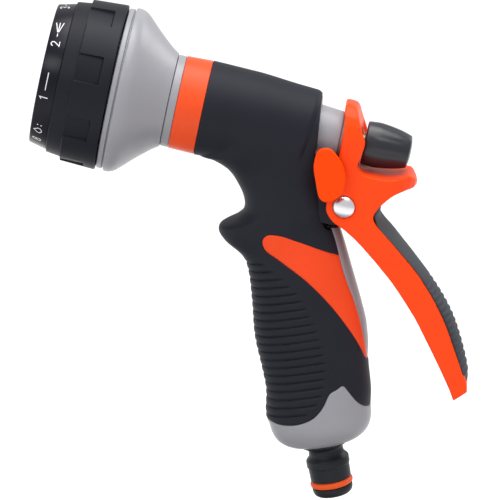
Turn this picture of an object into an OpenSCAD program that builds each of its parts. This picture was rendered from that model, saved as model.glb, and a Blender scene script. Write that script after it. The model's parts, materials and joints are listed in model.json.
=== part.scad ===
// Hand spray nozzle with a rotary pattern dial, a rear trigger and a click-connector spigot.
// Row frame: origin at the centre of the spigot's end face, +X rearwards along the barrel,
// +Z up, spray towards -X. Every module is drawn in the barrel frame and moved by placed().

/* [Dial] */
// Largest radius of the dial
dial_r = 32.8; // [31:0.1:34]
// Radius of the circle of outlet ports
port_circle = 17; // [16:0.5:18]

/* [Barrel] */
// Radius of the barrel at its front
barrel_front_r = 18.6; // [18:0.1:19]
// Radius of the barrel at its rear
barrel_rear_r = 16.1; // [16:0.1:17]
// Place of the barrel's rear end
barrel_rear_x = 80.5; // [80:0.1:82]

/* [Handle] */
// Lean of the handle from the upright
handle_tilt = 22; // [20:0.5:24]
// Distance from the barrel axis to the spigot's end, along the handle
handle_len = 155.1; // [152:0.1:156]
// Where the handle axis crosses the barrel axis
handle_x = 61.1; // [60:0.1:62]
// Half the width of the handle at its middle
grip_half_w = 16; // [15:0.5:17]
// Thickness of the soft cover
cover_t = 2.2; // [2:0.1:2.6]

/* [Trigger] */
// Pivot's distance behind the dial's back
pivot_x = 98.2; // [98:0.1:99]
// Pivot's distance below the barrel axis
pivot_drop = 23.9; // [23:0.1:24.5]
// Half the outer width of the trigger's ears
ear_out = 12.9; // [12.5:0.1:13.5]
// Half the gap between the ears
ear_in = 9.6; // [9.4:0.1:9.8]

/* [Spigot] */
// Radius of the spigot's locking collar
collar_r = 8.65; // [8.5:0.05:8.8]
// Radius of the spigot's water bore
inlet_bore_r = 5; // [4.5:0.1:5.5]

/* [Hidden] */
$fn = 64;

grey = [0.66, 0.66, 0.69];
dark = [0.19, 0.20, 0.22];
orange = [1.0, 0.30, 0.10];
steel = [0.80, 0.81, 0.83];
black = [0.10, 0.10, 0.12];

patterns = 8;
dial_rim_r = 27.5;
drum_r = 26.4;
drum_wall = 2;
drum_back = -4.6;
hub_r = 6;
hub_front = -18;
rim_front = -27.5;
ring_front = -20.3;
ring_step = -14.4;
ring_block_r = 32.1;
window_w = 19.5;
window_len = 10.6;
window_floor_r = 31.4;
window_turn = 21.3;

neck_r = 14;
neck_end = 41.9;
web_t = 2.1;
chamber_x = neck_end + web_t;
chamber_r = 10.5;
collar_x = 22.8;
ring_x = 26;
cover_x = 36.5;

seat_t = 3;
seat_bore = 5.5;
plunger_r = 8;
plunger_x = chamber_x + seat_t + 0.1;
stem_r = 3;
stem_rear = 114;
bonnet_x = 70;
bonnet_rear = 92;
nose_r = 9.3;
nose_x = 91;
spring_r = 6;
spring_wire = 1.3;
run_gap = 0.05;

tube_r = 6.5;
tube_bore_r = 4.8;
tube_top = 12.5;
tube_end = 128;
base_s = 134.4;
base_round = 13.5;
base_power = 2.9;
lock_x = 88.4;
lock_z = -14.6;
lock_travel = 2.8;
bolt_r = 2.5;
button_y = 15.9;
button_t = 2.6;
button_room = 0.4;
button_clear_y = 12.9;
boss_r = 8;
knob_x = 100.8;
plate_rear_x = 100.1;
plate_lean = 0.23;

// Side edges of the handle: distance down its axis, then offset from it (rearwards positive).
front_edge = [[-2, -24], [4, -26.5], [8.4, -28], [11, -24], [15.7, -18.4], [22.1, -15],
    [28.7, -13.6], [33.6, -15.5], [36.2, -21], [38.6, -25.6], [43.8, -24.9], [51.6, -18.5],
    [58, -17.3], [70, -18], [85, -19.5], [99, -19], [107.5, -19], [117.5, -20.8], [122, -20.1],
    [base_s, -20]];
back_edge = [[-2, 17], [14, 18.6], [31, 18.8], [40, 19.6], [48, 21.5], [63, 23.1], [85, 25],
    [93, 24.6], [103, 23.1], [114, 22.2], [122, 20.8], [base_s, 20.8]];
half_w = [[-2, 14.6], [14, 14.6], [30, 13.6], [45, 13.6], [62, grip_half_w - 1.2],
    [85, grip_half_w], [104, grip_half_w - 0.4], [118, grip_half_w + 0.7],
    [base_s, grip_half_w + 0.7]];
levels = [-2, 4, 7, 8.4, 10, 12, 14, 17, 20, 24, 28, 31, 33.6, 35, 36.5, 38.6, 41, 44, 47.5, 51.6,
    56, 62, 69, 77, 85, 93, 101, 108, 114, 117.5, 120.5, 123, 125.3, 127.4, 129.2, 130.8, 132.1,
    133.1, 133.8, 134.2, 134.38];
ring_points = 36;
section_power = 2.35;

function segment(tab, s, i = 0) = i >= len(tab) - 2 || s < tab[i + 1][0] ? i : segment(tab, s, i + 1);
function slope(tab, i) =
    let (a = tab[max(i - 1, 0)], b = tab[min(i + 1, len(tab) - 1)]) (b[1] - a[1]) / (b[0] - a[0]);
function smooth_at(tab, s) =
    let (i = segment(tab, s), a = tab[i], b = tab[i + 1], h = b[0] - a[0], u = (s - a[0]) / h)
    (2 * u * u * u - 3 * u * u + 1) * a[1] + (u * u * u - 2 * u * u + u) * h * slope(tab, i)
    + (3 * u * u - 2 * u * u * u) * b[1] + (u * u * u - u * u) * h * slope(tab, i + 1);
function signed_pow(v, p) = sign(v) * pow(abs(v), p);

// The base ends in a rounded dome: the share of the full section left at distance s.
function dome(s) = let (q = (s - base_s + base_round) / base_round)
    q <= 0 ? 1 : pow(max(1 - pow(min(q, 1), base_power), 0), 1 / base_power);
function handle_ring(s, inset) =
    let (f = smooth_at(front_edge, s), b = smooth_at(back_edge, s), d = dome(s),
         half = (b - f) / 2 * d - inset, mid = (b + f) / 2, side = smooth_at(half_w, s) * d - inset)
    [for (i = [0:ring_points - 1]) let (a = 360 * i / ring_points)
        [mid + max(half, 0.5) * signed_pow(cos(a), 2 / section_power),
         max(side, 0.5) * signed_pow(sin(a), 2 / section_power), -s]];

function side_curve(points, steps = 4) =
    [for (i = [0:len(points) - 1]) for (j = [0:steps - 1])
        let (n = len(points), p0 = points[(i + n - 1) % n], p1 = points[i],
             p2 = points[(i + 1) % n], p3 = points[(i + 2) % n], u = j / steps)
        ((-u + 2 * u * u - u * u * u) * p0 + (2 - 5 * u * u + 3 * u * u * u) * p1
         + (u + 4 * u * u - 3 * u * u * u) * p2 + (u * u * u - u * u) * p3) / 2];

// Barrel frame to row frame, and handle frame (axis down -Z) to barrel frame.
module placed()
    translate([-handle_x - handle_len * sin(handle_tilt), 0, handle_len * cos(handle_tilt)])
        children();
module on_handle() translate([handle_x, 0, 0]) rotate([0, -handle_tilt, 0]) children();
// A profile of [distance along the axis, radius] turned about the barrel axis.
module barrel_turned(points) rotate([0, 90, 0]) rotate_extrude($fn = 96)
    polygon([for (p = points) [p[1], p[0]]]);
module barrel_rod(x0, x1, r) translate([x0, 0, 0]) rotate([0, 90, 0]) cylinder(h = x1 - x0, r = r);
module side_slab(w) rotate([90, 0, 0]) linear_extrude(height = w, center = true) children();
module cross_rod(x, z, y0, y1, r) translate([x, y1, z]) rotate([90, 0, 0]) cylinder(h = y1 - y0, r = r);
module o_ring(r, wire) rotate_extrude() translate([r, 0]) circle(r = wire, $fn = 24);
module barrel_o_ring(x, r, wire) translate([x, 0, 0]) rotate([0, 90, 0]) o_ring(r, wire);

module loft(rings) {
    n = len(rings[0]);
    m = len(rings);
    polyhedron(
        points = [for (ring = rings) for (p = ring) p],
        faces = concat(
            [for (k = [0:m - 2]) for (i = [0:n - 1]) let (j = (i + 1) % n)
                [k * n + i, k * n + j, (k + 1) * n + j, (k + 1) * n + i]],
            [[for (i = [n - 1:-1:0]) i]],
            [[for (i = [0:n - 1]) (m - 1) * n + i]]));
}
module handle_loft(inset) on_handle() loft([for (s = levels) handle_ring(s, inset)]);

// A coil spring along +Z: wire radius, mean radius, free length and turns.
module coil(r, wire, len, turns) {
    steps = 16;
    loft([for (k = [0:turns * steps]) let (a = 360 * k / steps)
        [for (i = [0:5]) let (q = -60 * i)
            [(r + wire * cos(q)) * cos(a), (r + wire * cos(q)) * sin(a),
             len * k / (turns * steps) + wire * sin(q)]]]);
}

// Side-view regions of the handle's skin.
base_region = [[80, -119.6], [84, -118.6], [87.7, -117.6], [91.5, -117], [95, -116], [98.6, -114.5],
    [101.8, -112.5], [104.6, -110], [106.5, -106.8], [107.6, -103.8], [108.3, -100.3], [109.3, -98.4],
    [111, -97], [112.3, -95.6], [113.3, -95.1], [114.4, -95.8], [116.5, -97.7], [119.1, -100.1],
    [122, -102.1], [124.5, -103.3], [127, -104], [134, -104.4], [134, -140], [80, -140]];
spine_region = [[93.6, -30], [95.4, -34.6], [97.7, -38.6], [99.4, -41.9], [102.8, -48.9],
    [106, -54.6], [109.6, -60.4], [112.9, -66.2], [115.7, -72.1], [118.1, -77.8], [119.8, -82.6],
    [120.9, -86], [130, -86], [130, -30]];
inlay_region = [[70, -44.9], [70.3, -43], [71.6, -41.6], [74.2, -41], [77.8, -40.9], [82, -41.4],
    [87.2, -42.1], [92.4, -43], [96.6, -43.8], [100.4, -44.6], [104, -46], [122.5, -78],
    [122.5, -86.6], [119.5, -83.7], [117.3, -80.2], [113.8, -75.7], [109.9, -71.5], [105.4, -67.2],
    [101.1, -63.6], [96.2, -60], [91.5, -57], [86.9, -54.5], [81.8, -52.2], [77.2, -50.2],
    [73.3, -48.8], [71.2, -47.3]];
module region(points, w = 60) side_slab(w) polygon(points);

module barrel_outer() barrel_turned([[cover_x, 0], [cover_x, barrel_front_r],
    [57, barrel_front_r - 0.5], [barrel_rear_x, barrel_rear_r], [81.3, barrel_rear_r - 0.7],
    [85, barrel_rear_r - 1], [85, 0]]);
module rear_slope() translate([81.2, 0, 14.6]) rotate([0, -7, 0])
    translate([0, -30, -20]) cube([30, 60, 40]);
// Room in the cover for the lock buttons' inner faces.
module lock_pocket() {
    side_slab(80) translate([lock_x, lock_z]) circle(r = bolt_r + 0.3);
    for (side = [-1, 1]) translate([0, side * (button_clear_y + 15), 0]) side_slab(30)
        offset(delta = button_room) polygon(side_curve(lock_oval, 3));
}

module dial_face() color(black) placed() difference() {
    barrel_turned([[-27, 0], [-27, 5], [-27.6, 6], [-27.6, 8], [-26.8, 9], [-26.8, 22.5],
        [-27.6, 23.3], [-27.6, 24.2], [-25.2, 24.2], [-25.2, 0]]);
    for (k = [0:patterns - 1]) rotate([45 * k, 0, 0]) translate([-30, 0, port_circle])
        rotate([0, 90, 0]) pattern(k);
}
module hole_ring(count, r, hole) for (i = [0:count - 1]) rotate([0, 0, 360 * i / count])
    translate([r, 0, 0]) cylinder(h = 8, r = hole, $fn = 16);
module pattern(k) {
    if (k == 0) cylinder(h = 8, r = 1.8);
    if (k == 1) { hole_ring(10, 4.4, 0.5); hole_ring(5, 2.4, 0.5); }
    if (k == 2) translate([-0.7, -4.5, 0]) cube([1.4, 9, 8]);
    if (k == 3) { hole_ring(6, 1.8, 0.4); cylinder(h = 8, r = 0.5, $fn = 16); }
    if (k == 4) { hole_ring(12, 4.6, 0.7); cylinder(h = 8, r = 1.2); }
    if (k == 5) for (i = [-2:2]) translate([0, 1.9 * i, 0]) cylinder(h = 8, r = 0.6, $fn = 16);
    if (k == 6) hole_ring(3, 3, 1.2);
    if (k == 7) { hole_ring(16, 4.7, 0.35); hole_ring(8, 3, 0.35); }
}

module dial_cup() color(black) placed() difference() {
    union() {
        barrel_turned([[rim_front, drum_r - drum_wall], [rim_front, 26.9], [rim_front + 0.4, dial_rim_r],
            [ring_front - 0.1, 29.1], [ring_front - 0.1, drum_r], [-1, drum_r],
            [-1, drum_r - drum_wall]]);
        barrel_rod(drum_back, drum_back + 3, drum_r - drum_wall + 0.1);
        barrel_rod(hub_front, drum_back, 9);
        for (k = [0:patterns - 1]) rotate([45 * k + 22.5, 0, 0])
            translate([-25.1, -0.7, 8.8]) cube([20.6, 1.4, 15.7]);
    }
    barrel_rod(hub_front - 1, 0, hub_r + run_gap);
    for (k = [0:patterns - 1]) rotate([45 * k, 0, 0]) translate([0, 0, port_circle])
        barrel_rod(-8, 2, 3);
}
module dial_grip_ring() color(dark) placed() difference() {
    barrel_turned([[ring_front, drum_r + 0.05], [ring_front, 29.6], [ring_front + 0.5, 30.1],
        [ring_step, 30.7], [ring_step, ring_block_r - 0.3], [ring_step + 0.3, ring_block_r],
        [-0.7, dial_r], [-0.2, dial_r - 0.5], [-0.2, drum_r + 0.05]]);
    for (k = [0:patterns - 1]) rotate([45 * k + window_turn, 0, 0]) rotate([0, 90, 0])
        translate([0, 0, ring_step - 1]) rotate([0, 0, -window_w / 2])
        rotate_extrude(angle = window_w, $fn = 96)
            translate([window_floor_r, 0]) square([4, window_len]);
}
module dial_screw() color(steel) placed() {
    barrel_rod(-22.4, -19.4, 4);
    barrel_rod(-19.4, 2, 1.9);
}
module dial_washer() color(steel) placed() difference() {
    barrel_rod(-19.4, -18.2, 8.4);
    barrel_rod(-20, -17, 1.9);
}
module head_plate() color(grey) placed() difference() {
    union() {
        barrel_rod(-18.2, 3, hub_r);
        barrel_turned([[-0.9, 0], [-0.9, 23.8], [0.5, 23.8], [0.5, 29], [3.2, 29], [3.2, 0]]);
        translate([0, 0, port_circle]) barrel_rod(0, 8, 6.4);
    }
    barrel_rod(-19, 2.2, 1.95);
    translate([0, 0, port_circle]) barrel_rod(-2, 6, 4.6);
    translate([0, 0, port_circle]) barrel_rod(-2, 9, 3);
}
module outlet_seal() color(dark) placed() translate([0, 0, port_circle]) difference() {
    barrel_rod(-1.55, 1.6, 4.5);
    barrel_rod(-3, 3, 2.6);
}
module outlet_spring() color(steel) placed()
    translate([2, 0, port_circle]) rotate([0, 90, 0]) coil(3.8, 0.35, 3.6, 3);

module head_shell() color(grey) placed() barrel_turned([
    [0.3, 29.1], [0.3, 31.7], [2.2, 31.9], [2.4, 31.3], [2.8, 31.3], [3, 32.5], [4.3, 32.6],
    [5.4, 32.3], [6.8, 31.6], [8.2, 30.6], [10.5, 28.4], [14, 25], [18.6, 21], [20.8, 19.3],
    [22.7, 18.2], [22.7, neck_r], [neck_end, neck_r], [neck_end, 11], [21, 11], [18, 16.5],
    [13, 21.5], [9, 25.8], [7, 27.5], [3.4, 27.6], [3.4, 29.1]]);
module neck_nut() color(grey) placed() barrel_turned([[collar_x, neck_r + 0.05],
    [collar_x, 17.9], [collar_x + 0.3, 18.2], [ring_x - 0.1, 18.2], [ring_x - 0.1, neck_r + 0.05]]);
module neck_ring() color(orange) placed() barrel_turned([[ring_x, 16.35], [ring_x, 18.1],
    [ring_x + 0.3, 18.4], [cover_x - 0.4, barrel_front_r], [cover_x - 0.1, 18.4], [cover_x - 0.1, 16.35]]);

module body_core() color(grey) placed() difference() {
    union() {
        resize([0, 0, 0]) union() {
            handle_loft(cover_t);
            intersection() { handle_loft(0); region(base_region); }
            intersection() { handle_loft(0); region(spine_region); }
        }
        barrel_turned([[ring_x, 0], [ring_x, 16.3], [57, 15.8], [barrel_rear_x, 14], [barrel_rear_x, 0]]);
        trigger_boss();
    }
    barrel_rod(ring_x - 1, neck_end + 0.1, neck_r + 0.05);
    barrel_rod(neck_end, chamber_x + 0.1, 7);
    barrel_rod(chamber_x, 100, chamber_r);
    barrel_rod(barrel_rear_x, 100, 11.3);
    on_handle() translate([0, 0, -tube_end]) cylinder(h = tube_end, r = tube_r + run_gap);
    on_handle() translate([0, 0, -140]) cylinder(h = 16, r = 9.05);
    on_handle() translate([0, 0, -140]) cylinder(h = 7.8, r = 10.1);
    cross_rod(pivot_x, -pivot_drop, -20, 20, 3.1);
    cross_rod(lock_x, lock_z, -20, 20, bolt_r + run_gap);
    for (side = [-1, 1]) translate([0, side * 19.2, 0]) side_slab(20)
        translate([pivot_x, -pivot_drop]) circle(r = 9);
}
module trigger_boss() side_slab(18.4) union() {
    translate([pivot_x, -pivot_drop]) circle(r = boss_r);
    polygon([[76, -12], [82.5, -10.7], [90.6, -10.9], [93.2, -14.5], [103, -16.6], [103.2, -29.6],
        [93, -33], [80, -30]]);
}
module grip_cover() color(dark) placed() resize([0, 0, 0]) difference() {
    union() { handle_loft(0); barrel_outer(); }
    union() {
        handle_loft(cover_t);
        barrel_turned([[0, 0], [ring_x, 16.4], [57, 15.9], [barrel_rear_x + 0.1, 14.1],
            [barrel_rear_x + 0.1, 11.3], [90, 11.3], [90, 0]]);
        region(base_region);
        region(spine_region);
        region(inlay_region);
        rear_slope();
        lock_pocket();
        side_slab(18.5) polygon([[76, -12], [80.6, -5], [95, -5], [95, -36], [80, -30]]);
        side_slab(60) translate([pivot_x, -pivot_drop]) circle(r = 9.2);
    }
}
module inlay(side) color(orange) placed() resize([0, 0, 0]) intersection() {
    difference() { handle_loft(0.15); handle_loft(cover_t); region(spine_region); }
    region(inlay_region);
    translate([0, side * 30, -60]) cube([300, 59.9, 120], center = true);
}
module inlay_left() inlay(1);
module inlay_right() inlay(-1);

module valve_seat() color(dark) placed() difference() {
    barrel_rod(chamber_x, chamber_x + seat_t, chamber_r);
    barrel_rod(chamber_x - 1, chamber_x + seat_t + 1, seat_bore);
}
module plunger_seal() color(dark) placed() difference() {
    barrel_rod(plunger_x, plunger_x + 1.5, plunger_r - 0.4);
    barrel_rod(plunger_x - 1, plunger_x + 2, stem_r);
}
module valve_plunger() color(steel) placed() difference() {
    barrel_rod(plunger_x + 1.5, plunger_x + 4.5, plunger_r);
    barrel_rod(plunger_x, plunger_x + 6, stem_r);
}
module valve_stem() color(steel) placed() {
    barrel_rod(plunger_x - 1.6, plunger_x, 4.2);
    barrel_rod(plunger_x, stem_rear, stem_r);
}
module return_spring() color(steel) placed()
    translate([plunger_x + 4.5 + spring_wire / 2, 0, 0]) rotate([0, 90, 0])
        coil(spring_r, spring_wire / 2, bonnet_x - plunger_x - 4.6 - spring_wire, 6);
module valve_bonnet() color(grey) placed() difference() {
    barrel_turned([[bonnet_x, 0], [bonnet_x, 9.4], [72.4, 9.4], [72.4, 8.2], [75, 8.2], [75, 10.4],
        [barrel_rear_x + 0.4, 10.4], [barrel_rear_x + 0.4, 11.1], [nose_x - 0.3, 10.1],
        [nose_x, nose_r + 0.3], [nose_x, nose_r], [bonnet_rear, nose_r], [bonnet_rear, 0]]);
    barrel_rod(bonnet_x - 1, bonnet_rear + 1, stem_r + run_gap);
    barrel_rod(84, 86.4, 5.1);
}
module bonnet_seal() color(dark) placed() barrel_o_ring(73.7, 9.3, 1.1);
module stem_seal() color(dark) placed() barrel_o_ring(85.2, 4.1, 0.95);

module water_tube() color(grey) placed() on_handle() translate([0, 0, -tube_end + 0.1]) difference() {
    cylinder(h = tube_end - tube_top, r = tube_r);
    translate([0, 0, -1]) cylinder(h = tube_end, r = tube_bore_r);
}
module tube_seal() color(dark) placed() on_handle() translate([0, 0, -tube_end + 0.05]) difference() {
    translate([0, 0, -1.4]) cylinder(h = 1.4, r = 8);
    translate([0, 0, -2]) cylinder(h = 4, r = inlet_bore_r + 0.3);
}
// Radii down the spigot from where it leaves the base, counted from its end face upwards.
module hose_spigot() color(dark) placed() on_handle() translate([0, 0, -handle_len])
    rotate_extrude($fn = 96) polygon([[inlet_bore_r, 0], [6.4, 0], [7.5, 0.8], [8, 2.1], [8.1, 3.7],
        [7, 3.8], [7, 6.6], [8.1, 6.7], [8.25, 12.8], [collar_r, 13], [collar_r, 15.8], [7, 17.3],
        [6.9, 19.8], [8.6, 20.6], [9.9, 21.6], [10, 22.4], [9.6, 22.8], [9, 22.8], [9, 25.6],
        [inlet_bore_r, 25.6]]);
module spigot_o_ring() color(orange) placed() on_handle() translate([0, 0, 5.2 - handle_len])
    o_ring(7.25, 1.3);

// Side outline of the trigger: yoke, cradle, lever and ear, clockwise from the yoke's top.
trigger_outline = [[90.4, 14.3], [93.8, 14.7], [95.8, 13], [97.6, 9], [99.5, 5.4], [100.9, 2.6],
    [100.7, -1.4],
    [100.2, -4.6], [100, -7.3], [102.6, -9.6], [108.2, -10], [113.6, -9.6], [117.4, -8.6], [120, -7.5],
    [121.9, -7.8], [124.4, -10.6], [123.8, -12.4], [120, -13.6], [115.8, -16], [113, -19.4],
    [110.8, -23.2], [110.4, -26.4],
    [113.6, -29.9], [121, -35.3], [129.4, -41.8], [137.1, -49.3], [143.9, -57.2], [149.7, -65.4],
    [154.6, -73.6], [158.5, -80.2], [160.6, -85.2], [161.2, -88], [160.4, -90.6], [157.7, -92],
    [155, -88.8], [149.2, -80.8], [142.2, -71.7], [135.2, -62.9], [126.9, -55], [118.8, -47.9],
    [111.6, -41.9], [105.3, -37], [98.9, -32.9], [94.7, -30.8], [91.6, -26.8], [91.4, -21.8],
    [92.5, -17.8], [92.6, -9.8], [92.1, -5.6], [91.9, 2.3], [91.4, 8.8]];
// Half-widths seen from behind: height, then half the width.
trigger_width = [[15.2, 0.6], [14.9, 4], [13.7, 7.4], [11.4, 10.2], [8.1, 12], [3, ear_out],
    [-31, ear_out], [-37, 11.9], [-45, 10.5], [-60, 9.7], [-92, 8.8], [-96, 8.7]];
module trigger_shape(outline, inset) intersection() {
    side_slab(40) polygon(side_curve(outline, 3));
    rotate([90, 0, 90]) linear_extrude(height = 200) polygon(concat(
        [for (p = trigger_width) [p[1] - inset, p[0]]],
        [for (i = [len(trigger_width) - 1:-1:0]) [inset - trigger_width[i][1], trigger_width[i][0]]]));
}
// The channel between the ears, down the front of the lever.
channel_outline = [[86, -10.5], [93, -11], [103, -13.2], [106.6, -16.6], [107.8, -21.8], [107.4, -27],
    [110.4, -31.8], [118.6, -38.2], [126.8, -44.8], [134.4, -52.2], [141.2, -60.2], [146.8, -68.2],
    [151.6, -76.4], [154.2, -82], [150, -88], [120, -62], [92, -40], [86, -30]];
// Room in the yoke's rear face for the knob as the yoke tips back over it.
module yoke_recess() side_slab(2 * ear_in) polygon([[plate_rear_x, -6.5], [plate_rear_x, 0],
    [plate_rear_x - 12.4 * plate_lean, 12.4], [106, 12.4], [106, -6.5]]);
// Trough for the knob, closed behind it by the thumb lip.
module knob_room() barrel_turned([[100.4, 0], [100.4, 10], [106, 9.9], [112, 9.3], [118.6, 7.9],
    [120.3, 7], [120.3, 0]]);
// What the rounded thumb lip loses at its sides, seen from above.
lip_plan = [[110, 13.6], [113, 13.4], [116, 12.3], [119, 10.2], [121.5, 7.5], [123.4, 4.4], [124.3, 0]];
module lip_sides() translate([0, 0, -22]) linear_extrude(height = 24) difference() {
    translate([112, -20]) square([20, 40]);
    polygon(concat([for (p = lip_plan) p], [for (i = [len(lip_plan) - 1:-1:0])
        [lip_plan[i][0], -lip_plan[i][1]]]));
}
module trigger() color(orange) placed() difference() {
    union() {
        difference() {
            trigger_shape(trigger_outline, 0);
            trigger_shape(channel_outline, ear_out - ear_in);
            yoke_recess();
            lip_sides();
        }
        intersection() {
            cross_rod(97.5, 0, -ear_in, ear_in, 3.2);
            translate([90, -20, -20]) cube([20, 40, 40]);
        }
    }
    barrel_rod(88, 104, 5);
    barrel_rod(88, bonnet_rear + 0.1, nose_r + 0.15);
    knob_room();
    cross_rod(pivot_x, -pivot_drop, -20, 20, 3.05);
}
pad_outline = [[110.6, -22.8], [112.4, -23.2], [112.7, -26], [114.8, -28.7], [121.9, -34], [130.4, -40.6],
    [138.2, -48.2], [145.1, -56.2], [151, -64.5], [156, -72.8], [159.6, -79.4], [160.4, -82.8],
    [158.5, -80.2],
    [154.6, -73.6], [149.7, -65.4], [143.9, -57.2], [137.1, -49.3], [129.4, -41.8], [121, -35.3],
    [113.6, -29.9], [110.4, -26.4]];
module trigger_pad() color(dark) placed() difference() {
    trigger_shape(pad_outline, 0.4);
    trigger_shape(trigger_outline, -1);
}
module pivot_pin() color(steel) placed() {
    cross_rod(pivot_x, -pivot_drop, -ear_out - 0.2, ear_out + 0.2, 3);
    for (side = [-1, 1]) translate([pivot_x, side * (ear_out + 0.15), -pivot_drop])
        rotate([-90 * side, 0, 0]) rotate_extrude() intersection() {
            translate([0, -2.9]) circle(r = 5.05);
            square([4.2, 4]);
        }
}
module flow_knob() color(dark) placed() difference() {
    barrel_turned([[knob_x, 0], [knob_x, 7.9], [knob_x + 0.9, 8.7], [105.5, 8.7], [110.8, 8.1],
        [114.5, 7.4], [118.2, 6.3], [119, 5.3], [119.5, 2.5], [119.6, 0]]);
    barrel_rod(100, stem_rear + 0.5, stem_r + run_gap);
}
lock_oval = [[83, -6.5], [83.6, -2.8], [86.7, -1.1], [89.8, -2], [93.7, -5.8], [96.3, -10.8], [96.8, -14.5],
    [95.9, -18.4], [92.9, -21.3], [90, -22.1], [87.6, -20.5], [85.1, -14.6], [83.4, -10.1]];
module lock_button(side) color(orange) placed() translate([0, -lock_travel / 2, 0]) difference() {
    translate([0, side * button_y, 0]) side_slab(button_t) polygon(side_curve(lock_oval, 4));
    cross_rod(lock_x, lock_z, -button_y, button_y, bolt_r);
}
module lock_button_left() lock_button(1);
module lock_button_right() lock_button(-1);
module lock_bolt() color(orange) placed() translate([0, -lock_travel / 2, 0]) {
    cross_rod(lock_x, lock_z, -button_y, button_y, bolt_r);
}

dial_face();
dial_cup();
dial_grip_ring();
dial_screw();
dial_washer();
head_plate();
outlet_seal();
outlet_spring();
head_shell();
neck_nut();
neck_ring();
body_core();
grip_cover();
inlay_left();
inlay_right();
valve_seat();
plunger_seal();
valve_plunger();
valve_stem();
return_spring();
valve_bonnet();
bonnet_seal();
stem_seal();
water_tube();
tube_seal();
hose_spigot();
spigot_o_ring();
trigger();
trigger_pad();
pivot_pin();
flow_knob();
lock_bolt();
lock_button_left();
lock_button_right();
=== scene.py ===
import json
import math

import bmesh
import bpy
import numpy as np
from mathutils import Matrix, Vector


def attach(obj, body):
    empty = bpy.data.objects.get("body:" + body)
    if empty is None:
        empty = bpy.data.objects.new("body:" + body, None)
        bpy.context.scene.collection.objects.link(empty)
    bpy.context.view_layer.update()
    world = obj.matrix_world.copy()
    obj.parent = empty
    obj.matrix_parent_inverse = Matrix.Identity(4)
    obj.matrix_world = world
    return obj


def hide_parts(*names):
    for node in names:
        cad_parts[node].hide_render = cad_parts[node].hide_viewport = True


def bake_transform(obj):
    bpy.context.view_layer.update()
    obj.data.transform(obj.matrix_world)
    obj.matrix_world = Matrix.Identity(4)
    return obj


# A hose spray nozzle around its CAD frame. Shapes are worked out in the barrel frame, in
# millimetres: x rearwards from the dial's back, y to the left, z up from the barrel axis.
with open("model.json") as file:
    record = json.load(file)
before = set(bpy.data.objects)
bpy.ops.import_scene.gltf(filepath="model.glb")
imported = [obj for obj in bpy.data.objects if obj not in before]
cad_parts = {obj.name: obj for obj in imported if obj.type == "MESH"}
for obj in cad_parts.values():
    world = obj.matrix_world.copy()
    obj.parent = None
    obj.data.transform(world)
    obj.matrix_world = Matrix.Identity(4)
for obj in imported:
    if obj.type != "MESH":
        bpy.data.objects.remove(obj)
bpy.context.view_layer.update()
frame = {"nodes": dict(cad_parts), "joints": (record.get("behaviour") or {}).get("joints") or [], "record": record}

JOINTS = {j["name"]: j for j in frame["joints"]}
MM = 0.001
DIAL_BACK = 14.0  # the dial joint's point lies this far in front of the dial's back
TILT = math.radians(22)  # the handle's lean from square to the barrel
HANDLE_X = 61.1  # where the handle's axis meets the barrel's
HANDLE_LEN = 155.1  # down the handle's axis to the spigot's end
AXIS_Z = JOINTS["dial_turn"]["pos_m"][2]
BARREL = Vector((JOINTS["dial_turn"]["pos_m"][0] + DIAL_BACK * MM, 0, AXIS_Z))
PIVOT = (98.2, -23.9)  # side-view (x, z) of the rivet
LOCK = (88.4, -14.6)  # and of the lock bolt
TO_ROW = Matrix.Translation(BARREL) @ Matrix.Scale(MM, 4)
HANDLE_AXIS = np.array([math.sin(TILT), 0, -math.cos(TILT)])
HANDLE_BACK = np.array([math.cos(TILT), 0, math.sin(TILT)])

COVER_T = 2.2  # thickness of the soft cover
NECK_RING_X = 26.0  # the barrel's front end, under the orange ring
COVER_X = 36.5  # the soft cover's front end
BARREL_REAR_X = 80.5
REAR_EDGE, REAR_LEAN = (80.9, 14.6), math.radians(7)  # the cover's slanted rear end
RING_POINTS = 180
SECTION_POWER = 2.35  # 2 would make the handle's section an ellipse
BASE_S, BASE_ROUND, BASE_POWER = 134.0, 13.5, 2.8

# Side edges and half-width of the handle: distance down its axis, then offset from it.
FRONT_EDGE = [(-2, -24), (4, -26.5), (8.4, -28), (11, -23.3), (15.7, -18), (22.1, -15),
              (28.7, -13.6), (33.6, -14.8), (36.2, -18.8), (38.3, -25.2), (43.8, -24.5),
              (51.6, -18.5), (58, -17.3), (70, -18), (85, -19.5), (99, -19),
              (107.5, -19), (117.5, -20.8), (122, -20.1), (BASE_S, -20)]
BACK_EDGE = [(-2, 17), (14, 18.6), (31, 18.8), (40, 19.6), (48, 21.5), (63, 23.1), (85, 25),
             (93, 24.6), (103, 23.1), (114, 22.2), (122, 20.8), (BASE_S, 20.8)]
HALF_WIDTH = [(-2, 14.6), (14, 14.6), (30, 13.6), (45, 13.6), (62, 14.8), (85, 16),
              (104, 15.6), (118, 16.7), (BASE_S, 16.7)]


# ---------------------------------------------------------------- shape helpers
def smooth_at(table, s):
    """Cubic through the table's (key, value) pairs, at s."""
    k = np.array([p[0] for p in table], float)
    v = np.array([p[1] for p in table], float)
    slope = np.empty(len(k))
    slope[1:-1] = (v[2:] - v[:-2]) / (k[2:] - k[:-2])
    slope[0] = (v[1] - v[0]) / (k[1] - k[0])
    slope[-1] = (v[-1] - v[-2]) / (k[-1] - k[-2])
    i = np.clip(np.searchsorted(k, s, side="right") - 1, 0, len(k) - 2)
    h = k[i + 1] - k[i]
    u = (s - k[i]) / h
    return ((2 * u**3 - 3 * u**2 + 1) * v[i] + (u**3 - 2 * u**2 + u) * h * slope[i]
            + (3 * u**2 - 2 * u**3) * v[i + 1] + (u**3 - u**2) * h * slope[i + 1])


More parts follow.
